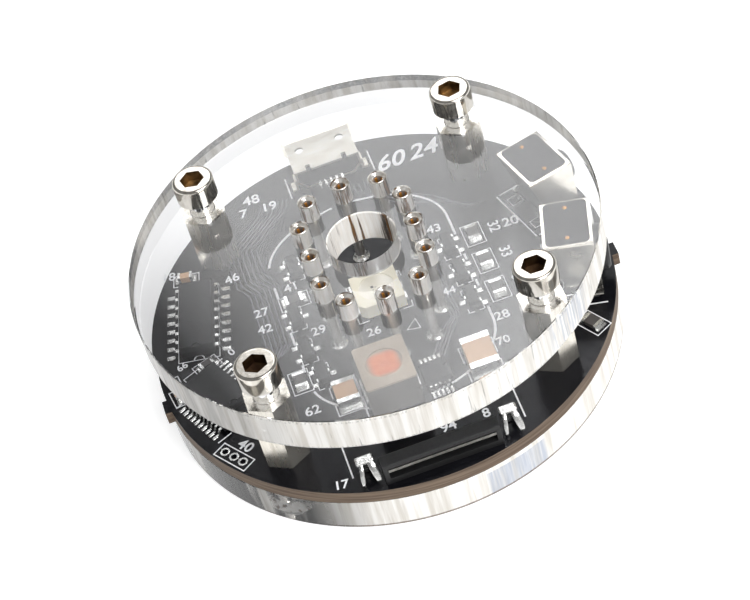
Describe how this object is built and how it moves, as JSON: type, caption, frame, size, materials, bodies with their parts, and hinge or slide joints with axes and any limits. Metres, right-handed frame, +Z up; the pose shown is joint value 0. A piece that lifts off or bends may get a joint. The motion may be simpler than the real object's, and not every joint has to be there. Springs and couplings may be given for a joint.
{
  "type": "numeral tube clock base",
  "caption": "Round two-plate clock base: clear acrylic discs on hex standoffs sandwich a black circuit board with an oval of tube pin sockets, side push switches and a USB inlet.",
  "frame": {"origin": "centre of the bottom plate's underside, on the surface it stands on", "axes": "+Z up through the tube's tip hole, +Y towards the USB inlet, +X between the two push switches"},
  "size_m": [0.0508, 0.0506, 0.0191],
  "materials": {
    "black_board": "black solder mask over glass-epoxy",
    "black_plastic": "black moulded plastic",
    "clear_acrylic": "clear cast acrylic, laser-cut edge",
    "clear_resin": "clear resin fill",
    "copper_wire": "enamelled copper wire",
    "dark_ceramic": "coated alumina",
    "ferrite": "sintered ferrite",
    "gold_contact": "gold flash",
    "nickel": "bright nickel plate",
    "nickel_sheet": "nickel-plated sheet",
    "solder_tin": "reflowed tin solder",
    "tan_ceramic": "fired ceramic",
    "tinned_brass": "bright tin over brass",
    "white_plastic": "white moulded package"
  },
  "bodies": {
    "base": {"boost_chip_body": "black_plastic", "boost_chip_leads": "solder_tin", "bottom_plate": "clear_acrylic", "bottom_screws": "nickel", "capacitor_bodies": "tan_ceramic", "capacitor_ends": "solder_tin", "circuit_board": "black_board", "clock_chip_body": "black_plastic", "clock_chip_leads": "solder_tin", "controller_body": "black_plastic", "controller_leads": "solder_tin", "edge_bar": "nickel_sheet", "edge_clips": "solder_tin", "edge_housing": "black_plastic", "header_rings": "solder_tin", "inductor_core": "ferrite", "inductor_terminals": "solder_tin", "inductor_winding": "copper_wire", "led_body": "white_plastic", "led_leads": "solder_tin", "led_window": "clear_resin", "resistor_bodies": "dark_ceramic", "resistor_ends": "solder_tin", "select_body": "black_plastic", "select_bracket": "nickel_sheet", "select_cover": "nickel_sheet", "select_dome": "nickel_sheet", "select_terminals": "solder_tin", "set_body": "black_plastic", "set_bracket": "nickel_sheet", "set_cover": "nickel_sheet", "set_dome": "nickel_sheet", "set_terminals": "solder_tin", "socket_barrels": "tinned_brass", "socket_contacts": "gold_contact", "socket_solder": "solder_tin", "standoffs": "nickel", "top_plate": "clear_acrylic", "top_screws": "nickel", "transistor_bodies": "black_plastic", "transistor_leads": "solder_tin", "usb_contacts": "gold_contact", "usb_insulator": "black_plastic", "usb_shell": "nickel_sheet"},
    "select_key": {"select_plunger": "black_plastic"},
    "set_key": {"set_plunger": "black_plastic"}
  },
  "joints": [
    {"name": "select_press", "type": "slide", "parent": "base", "child": "select_key", "axis": [-0.9659, -0.2588, 0], "range_m": [0, 0.00025], "stiffness_N_per_m": 3000},
    {"name": "set_press", "type": "slide", "parent": "base", "child": "set_key", "axis": [-0.9659, 0.2588, 0], "range_m": [0, 0.00025], "stiffness_N_per_m": 3000}
  ]
}
